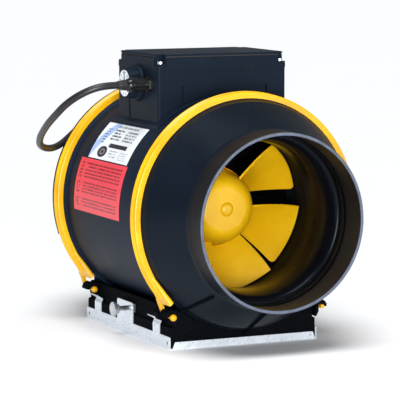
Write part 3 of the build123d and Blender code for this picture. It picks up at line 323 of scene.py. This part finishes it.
def bore_plastic():
    """The nozzle: glossy round its mouth, and dulled by dust along the flare round the blades."""
    shade = moulded_plastic(
        "bore_plastic", (0.0025, 0.003, 0.0045), MOUTH_GLOSS, scuffs=0.05, specular=0.09
    )
    along = shade.node("ShaderNodeSeparateXYZ", "Y", {"Vector": shade.place})
    dulled = shade.spread(along, FLARE_FROM_Y, FLARE_FULL_Y, MOUTH_GLOSS, FLARE_GLOSS)
    shade.polish(shade.calc("ADD", dulled, shade.spread(shade.noise(40), 0.3, 0.7, -0.03, 0.03)))
    return shade


def dial_plastic():
    """The knob's white insert, with a pointer and a ring of short marks."""
    paper = (0.90, 0.95, 0.99)
    shade = moulded_plastic("dial_plastic", paper, 0.3, scuffs=0.05)
    low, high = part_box("knob_dial")
    outer = (high.z - low.z) / 2
    split = shade.tree.nodes.new("ShaderNodeSeparateXYZ")
    shade.put(shade.place, split.inputs[0])
    across = shade.calc("SUBTRACT", split.outputs["Y"], (low.y + high.y) / 2)
    up = shade.calc("SUBTRACT", split.outputs["Z"], (low.z + high.z) / 2)
    radius = shade.calc(
        "SQRT", shade.calc("ADD", shade.calc("MULTIPLY", across, across), shade.calc("MULTIPLY", up, up))
    )
    pointer = shade.calc(
        "MULTIPLY",
        shade.calc("LESS_THAN", shade.calc("ABSOLUTE", across), 0.07 * outer),
        shade.calc("GREATER_THAN", up, 0.15 * outer),
    )
    turns = shade.calc("MULTIPLY", shade.calc("ARCTAN2", across, up), DIAL_MARKS / (2 * math.pi))
    offset = shade.calc("ABSOLUTE", shade.calc("SUBTRACT", shade.calc("FRACT", turns), 0.5))
    ring = shade.calc(
        "MULTIPLY",
        shade.calc("GREATER_THAN", radius, 0.74 * outer),
        shade.calc("LESS_THAN", radius, 0.90 * outer),
    )
    marks = shade.calc("MULTIPLY", ring, shade.calc("LESS_THAN", offset, 0.10))
    clean = shade.mix(shade.spread(shade.noise(60), 0.35, 0.7), tinted(paper, 0.95), paper)
    printed = shade.calc("MAXIMUM", pointer, marks)
    shade.paint(shade.mix(printed, clean, INK))
    return shade


def galvanised_steel(name):
    """Hot-dipped sheet: flat crystals of slightly different brightness, with rolled streaks."""
    color = (0.80, 0.86, 0.93)
    shade = Shade(name, color, 0.3, metallic=0.45)
    crystals = shade.cells(320, output="Color")
    level = shade.node("ShaderNodeSeparateColor", 0, {"Color": crystals})
    streaks = shade.noise(240, detail=3, vector=shade.stretched((1.0, 0.05, 1.0)))
    stain = shade.noise(22, detail=6, rough=0.65)
    tone = shade.mix(level, tinted(color, 0.94), tinted(color, 1.05))
    shade.paint(shade.mix(shade.spread(stain, 0.52, 0.75, 0.0, 0.3), tone, (0.52, 0.56, 0.62)))
    rough = shade.spread(level, 0, 1, 0.27, 0.34)
    shade.polish(shade.calc("ADD", rough, shade.spread(streaks, 0.3, 0.7, -0.03, 0.06)))
    shade.bump((streaks, 0.000015))
    return shade


def machined_metal(name, color, roughness):
    """Turned or plated metal with fine tool marks and small stains."""
    shade = Shade(name, color, roughness, metallic=1.0)
    marks = shade.noise(700, detail=3, vector=shade.stretched((1.0, 0.2, 1.0)))
    stain = shade.noise(90, detail=5)
    shade.paint(shade.mix(shade.spread(stain, 0.45, 0.7), color, tinted(color, 0.72)))
    shade.polish(shade.spread(marks, 0.3, 0.7, roughness * 0.8, roughness * 1.3))
    shade.bump((marks, 0.00001))
    return shade


def strap_elastomer():
    color = (0.80, 0.40, 0.003)
    shade = Shade("strap_elastomer", color, 0.26, specular=0.4)
    clouds = shade.noise(30, detail=4)
    ripples = shade.noise(55, detail=3)
    grime = shade.noise(150, detail=6, rough=0.7)
    tone = shade.mix(shade.spread(clouds, 0.35, 0.65), tinted(color, 0.94), (0.86, 0.47, 0.005))
    shade.paint(shade.mix(shade.spread(grime, 0.62, 0.8, 0, 0.30), tone, (0.62, 0.26, 0.01)))
    shade.polish(shade.spread(clouds, 0.3, 0.7, 0.24, 0.38))
    shade.bump((ripples, 0.00025), (shade.noise(1200, detail=2), 0.00001))
    shade.surface.inputs["Subsurface Weight"].default_value = 0.08
    shade.surface.inputs["Subsurface Radius"].default_value = (0.004, 0.002, 0.0005)
    shade.surface.inputs["Subsurface Scale"].default_value = 1.0
    return shade


def impeller_plastic(name):
    """Golden plastic with flow marks, specks and a soft gloss."""
    color = (0.90, 0.50, 0.003)
    shade = Shade(name, color, 0.36, coat=0.1)
    clouds = shade.noise(26, detail=5)
    grain_height = shade.noise(900, detail=2)
    specks = shade.spread(shade.cells(160), 0.0, 0.055, 1.0, 0.0)
    tone = shade.mix(shade.spread(clouds, 0.35, 0.7), tinted(color, 0.92), (0.94, 0.55, 0.006))
    shade.paint(shade.mix(shade.calc("MULTIPLY", specks, 0.7, clamp=True), tone, (0.35, 0.16, 0.01)))
    shade.polish(shade.spread(clouds, 0.3, 0.7, 0.30, 0.44))
    shade.bump((clouds, 0.0003), (grain_height, 0.000012))
    return shade


def ribbed_rubber(name):
    color = (0.012, 0.012, 0.014)
    roughness = 0.5
    shade = Shade(name, color, roughness)
    clouds = shade.noise(70, detail=5)
    shade.paint(shade.mix(shade.spread(clouds, 0.35, 0.7), color, tinted(color, 1.7)))
    shade.polish(shade.spread(clouds, 0.3, 0.7, roughness * 0.85, roughness * 1.15))
    shade.bump((shade.noise(1500, detail=2), 0.000015))
    return shade


def cable_jacket():
    color = (0.010, 0.0105, 0.0125)
    shade = Shade("cable_jacket", color, 0.34, coat=0.1, specular=0.35)
    clouds = shade.noise(50, detail=5)
    lay = shade.noise(160, detail=2)
    shade.paint(shade.mix(shade.spread(clouds, 0.35, 0.7), color, tinted(color, 1.8)))
    shade.polish(shade.spread(clouds, 0.3, 0.7, 0.28, 0.42))
    shade.bump((lay, 0.00012), (shade.noise(1800, detail=2), 0.00001))
    return shade


class Print(Shade):
    """Printed film on the barrel: across and down run 0 to 1 from its top left corner."""

    def __init__(self, name, node, paper):
        super().__init__(name, paper, 0.34, coat=0.05, specular=0.3)
        low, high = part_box(node)
        split = self.tree.nodes.new("ShaderNodeSeparateXYZ")
        self.put(self.place, split.inputs[0])
        left = self.calc("MULTIPLY", split.outputs["X"], -1.0)
        lift = self.calc("SUBTRACT", split.outputs["Z"], FAN_AXIS_Z)
        angle = self.calc("ARCTAN2", left, lift)
        top = math.atan2(-high.x, high.z - FAN_AXIS_Z)
        bottom = math.atan2(-low.x, low.z - FAN_AXIS_Z)
        self.across = self.spread(split.outputs["Y"], high.y, low.y)
        self.down = self.spread(angle, top, bottom)
        self.picture = self.mix(
            self.spread(self.noise(35, detail=3), 0.35, 0.7), tinted(paper, 0.96), paper
        )

    def between(self, value, low, high):
        above = self.calc("GREATER_THAN", value, low)
        below = self.calc("LESS_THAN", value, high)
        return self.calc("MULTIPLY", above, below)

    def panel(self, left, top, right, bottom):
        return self.calc(
            "MULTIPLY", self.between(self.across, left, right), self.between(self.down, top, bottom)
        )

    def ink(self, mask, color, strength=1.0):
        self.picture = self.mix(self.calc("MULTIPLY", mask, strength), self.picture, color)

    def rows(self, left, top, right, bottom, count, words=40.0, thick=0.5, seed=0.0, threshold=0.46):
        """Rows of short dashes of uneven length, standing for lines of small print."""
        lines = self.calc("MULTIPLY", self.calc("SUBTRACT", self.down, top), count / (bottom - top))
        index = self.calc("FLOOR", lines)
        within = self.calc("LESS_THAN", self.calc("FRACT", lines), thick)
        along = self.calc("MULTIPLY", self.across, words)
        place = self.node("ShaderNodeCombineXYZ", 0, {
            "X": along,
            "Y": self.calc("MULTIPLY", index, 7.31),
            "Z": seed,
        })
        dash = self.calc("GREATER_THAN", self.noise(1.0, detail=1, vector=place), threshold)
        inked = self.calc("MULTIPLY", within, dash)
        return self.calc("MULTIPLY", inked, self.panel(left, top, right, bottom))

    def done(self):
        self.paint(self.picture)
        self.bump((self.noise(40, detail=3), 0.00015))
        return self


def rating_print():
    shade = Print("rating_print", "rating_label", (0.89, 0.93, 0.97))
    slope = shade.calc("ADD", shade.across, shade.calc("MULTIPLY", shade.down, 0.35))
    shade.ink(shade.between(slope, 0.20, 0.36), (0.34, 0.50, 0.86), 0.85)
    for strength, place, look in (
        (0.8, (0.28, 0.06, 0.80, 0.14, 1), {"words": 60, "thick": 0.6, "seed": 1}),
        (0.7, (0.10, 0.17, 0.20, 0.62, 6), {"words": 50, "thick": 0.45, "seed": 2, "threshold": 0.4}),
        (0.95, (0.30, 0.17, 0.52, 0.50, 4), {"words": 55, "thick": 0.55, "seed": 3}),
        (0.85, (0.60, 0.17, 0.86, 0.50, 4), {"words": 55, "thick": 0.55, "seed": 4, "threshold": 0.46}),
        (1.0, (0.36, 0.56, 0.82, 0.68, 1), {"words": 36, "thick": 0.9, "seed": 5, "threshold": 0.36}),
        (0.6, (0.44, 0.73, 0.64, 0.94, 3), {"words": 60, "thick": 0.45, "seed": 6}),
        (0.5, (0.72, 0.74, 0.92, 0.96, 4), {"words": 70, "thick": 0.4, "seed": 7}),
    ):
        shade.ink(shade.rows(*place, **look), INK, strength)
    dx = shade.calc("MULTIPLY", shade.calc("SUBTRACT", shade.across, 0.28), 1.3)
    dy = shade.calc("SUBTRACT", shade.down, 0.80)
    squares = shade.calc("ADD", shade.calc("MULTIPLY", dx, dx), shade.calc("MULTIPLY", dy, dy))
    ring = shade.calc("SQRT", squares)
    shade.ink(shade.calc("LESS_THAN", ring, 0.145), INK)
    shade.ink(shade.between(ring, 0.05, 0.075), (0.5, 0.5, 0.5), 0.6)
    return shade.done()


def notice_print():
    shade = Print("notice_print", "notice_label", (0.86, 0.060, 0.085))
    dark = (0.12, 0.010, 0.015)
    for number, (top, bottom, rows) in enumerate(((0.08, 0.40, 5), (0.45, 0.68, 4), (0.75, 0.93, 3))):
        text = shade.rows(
            0.16, top, 0.93, bottom, rows, words=46, thick=0.5, seed=10 + number, threshold=0.42
        )
        shade.ink(text, dark, 0.75)
        numbering = shade.rows(
            0.04, top, 0.11, bottom, rows, words=30, thick=0.6, seed=20 + number, threshold=0.40
        )
        shade.ink(numbering, dark, 0.75)
    return shade.done()


def finish_nodes():
    """Gives each CAD node its procedural material."""
    black = (0.0075, 0.0135, 0.0260)
    plastic = {
        "barrel": moulded_plastic("barrel_plastic", black, 0.42, specular=0.06),
        # The shells carry a painted highlight along their rims.
        "shell": moulded_plastic("shell_plastic", (0.0035, 0.0065, 0.0120), 0.34, rim_highlight=True),
        "nozzle": bore_plastic(),
        "vane": moulded_plastic("vane_plastic", (0.003, 0.0032, 0.004), 0.9, scuffs=0.0, specular=0.0),
        "grained": moulded_plastic(
            "grained_plastic", (0.0070, 0.0120, 0.0210), 0.46, grain=0.0011, grain_depth=0.00006,
            specular=0.07,
        ),
        "matt": moulded_plastic("matt_plastic", (0.003, 0.0035, 0.005), 0.7, scuffs=0.05, specular=0.02),
        "nylon": moulded_plastic("gland_nylon", (0.008, 0.008, 0.009), 0.20, coat=0.4, scuffs=0.1),
        "switch": moulded_plastic("switch_plastic", (0.05, 0.05, 0.055), 0.4),
        "terminal": moulded_plastic("terminal_plastic", (0.62, 0.60, 0.52), 0.4),
        "white": moulded_plastic("white_plastic", (0.90, 0.95, 0.99), 0.3, scuffs=0.05),
        "screw_head": moulded_plastic("screw_head_plastic", (0.42, 0.43, 0.45), 0.35),
    }
    zinc = machined_metal("zinc_plate", (0.66, 0.67, 0.70), 0.30)
    ground = machined_metal("ground_steel", (0.55, 0.55, 0.56), 0.18)
    dark_steel = machined_metal("dark_steel", (0.10, 0.10, 0.11), 0.42)
    laminations = machined_metal("lamination_steel", (0.28, 0.28, 0.30), 0.45)
    copper = machined_metal("winding_copper", (0.62, 0.25, 0.10), 0.35)
    cast = machined_metal("cast_aluminium", (0.52, 0.53, 0.55), 0.42)
    brass = machined_metal("pin_brass", (0.80, 0.62, 0.26), 0.22)
    rubber = ribbed_rubber("black_rubber")
    jacket = cable_jacket()
    strap = strap_elastomer()
    gold = impeller_plastic("impeller_plastic")
    finishes = {
        plastic["barrel"]: ["housing_barrel"],
        plastic["shell"]: ["front_shell", "rear_shell"],
        plastic["nozzle"]: ["inlet_nozzle"],
        plastic["vane"]: ["guide_vane_casing", "tail_fairing", "outlet_cone"],
        plastic["grained"]: ["box_base", "box_lid", "speed_knob"],
        plastic["matt"]: ["cradle"],
        plastic["nylon"]: ["gland_body", "gland_nut", "gland_locknut"],
        plastic["switch"]: ["speed_switch", "knob_spindle"],
        plastic["terminal"]: ["terminal_block"],
        dial_plastic(): ["knob_dial"],
        plastic["white"]: ["capacitor"],
        zinc: ["lid_screws", "casing_screws", "motor_screws", "thumb_screw", "thumb_screw_washer",
               "thumb_screw_nut"],
        ground: ["bearing_front", "bearing_rear", "impeller_shaft"],
        dark_steel: ["rotor_bell", "rotor_cage"],
        laminations: ["stator_core"],
        copper: ["stator_winding"],
        cast: ["motor_flange"],
        brass: ["plug_pins"],
        rubber: ["box_gasket", "gland_boot", "lead_grommet", "plug_body"],
        jacket: ["supply_lead", "motor_lead"],
        strap: ["front_strap", "rear_strap"],
        gold: ["impeller", "hub_cap"],
        galvanised_steel("galvanised_steel"): ["wall_bracket"],
        rating_print(): ["rating_label"],
        notice_print(): ["notice_label"],
    }
    for shade, nodes in finishes.items():
        for node in nodes:
            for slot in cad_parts[node].material_slots:
                slot.material = shade.material
    power_lead.data.materials.append(jacket.material)
    return rubber


rubber = finish_nodes()


# ---------------------------------------------------------------- tie round the stored coil


def make_coil_tie():
    """A hook-and-loop band wrapped once round the coil's four strands."""
    mesh = bmesh.new()
    angle = math.radians(62)
    half_width = 0.007
    outward = Vector((math.cos(angle), math.sin(angle), 0))
    along = Vector((-math.sin(angle), math.cos(angle), 0))
    middle = COIL_CENTRE + outward * (COIL_R_INNER + COIL_R_OUTER) / 2
    middle.z = CORD_D * 1.01 + COIL_LIFT
    reach = (COIL_R_OUTER - COIL_R_INNER + CORD_D) / 2 + 0.0006
    rise = CORD_D * 1.01
    corner = 0.0035
    loop = []
    for quarter, (sx, sz) in enumerate(((1, 1), (-1, 1), (-1, -1), (1, -1))):
        for step in range(7):
            turn = math.radians(90 * quarter + 15 * step)
            loop.append(
                outward * (sx * (reach - corner) + corner * math.cos(turn))
                + Vector((0, 0, sz * (rise - corner) + corner * math.sin(turn)))
            )
    rings = []
    for side in (-1, -0.8, 0.8, 1):
        thin = 0.0 if abs(side) < 1 else 0.0002
        ring = [
            mesh.verts.new(middle + point * (1 - thin / reach) + along * (half_width * side))
            for point in loop
        ]
        rings.append(ring)
    for first, second in zip(rings, rings[1:]):
        for k in range(len(loop)):
            n = (k + 1) % len(loop)
            mesh.faces.new((first[k], first[n], second[n], second[k]))
    data = bpy.data.meshes.new("coil_tie")
    mesh.to_mesh(data)
    mesh.free()
    tie = bpy.data.objects.new("coil_tie", data)
    bpy.context.collection.objects.link(tie)
    solid = tie.modifiers.new("thickness", "SOLIDIFY")
    solid.thickness = 0.0011
    solid.offset = 1.0
    for face in data.polygons:
        face.use_smooth = True
    tie.data.materials.append(rubber.material)
    return tie


coil_tie = make_coil_tie()
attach(coil_tie, "housing")

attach(power_lead, "housing")
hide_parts("power_cord", "cord_coil")


# ---------------------------------------------------------------- floor and lights


def make_floor():
    mesh = bmesh.new()
    bmesh.ops.create_grid(mesh, x_segments=8, y_segments=8, size=14)
    data = bpy.data.meshes.new("floor")
    mesh.to_mesh(data)
    mesh.free()
    floor = bpy.data.objects.new("floor", data)
    bpy.context.collection.objects.link(floor)
    shade = Shade("floor_paper", (0.94, 0.94, 0.95), 0.75)
    shade.paint(shade.mix(shade.noise(3, detail=3), (0.93, 0.93, 0.94), (0.95, 0.95, 0.96)))
    floor.data.materials.append(shade.material)


def softbox(name, location, target, size, power):
    data = bpy.data.lights.new(name, "AREA")
    data.shape = "RECTANGLE"
    data.size, data.size_y = size
    data.energy = power
    lamp = bpy.data.objects.new(name, data)
    bpy.context.collection.objects.link(lamp)
    lamp.location = location
    aim(lamp, target)


def sunlight(name, direction, strength, spread):
    """A broad distant lamp that lights object and floor evenly, shining along a direction."""
    data = bpy.data.lights.new(name, "SUN")
    data.energy = strength
    data.angle = math.radians(spread)
    lamp = bpy.data.objects.new(name, data)
    bpy.context.collection.objects.link(lamp)
    aim(lamp, direction)


def make_world(color, strength):
    world = bpy.data.worlds.new("studio")
    bpy.context.scene.world = world
    world.use_nodes = True
    background = world.node_tree.nodes["Background"]
    background.inputs["Color"].default_value = (*color, 1.0)
    background.inputs["Strength"].default_value = strength


make_floor()
centre = (0.0, 0.0, FAN_AXIS_Z)
sunlight("overhead", (0.20, 0.30, -1.0), 2.7, 35)
softbox("front", (-0.75, -2.0, 0.25), centre, (0.6, 0.6), 38)
softbox("front_low", (0.95, -2.0, 0.30), centre, (0.6, 0.5), 3)
make_world((0.90, 0.95, 1.0), 0.32)
bpy.context.scene.view_settings.view_transform = "Standard"
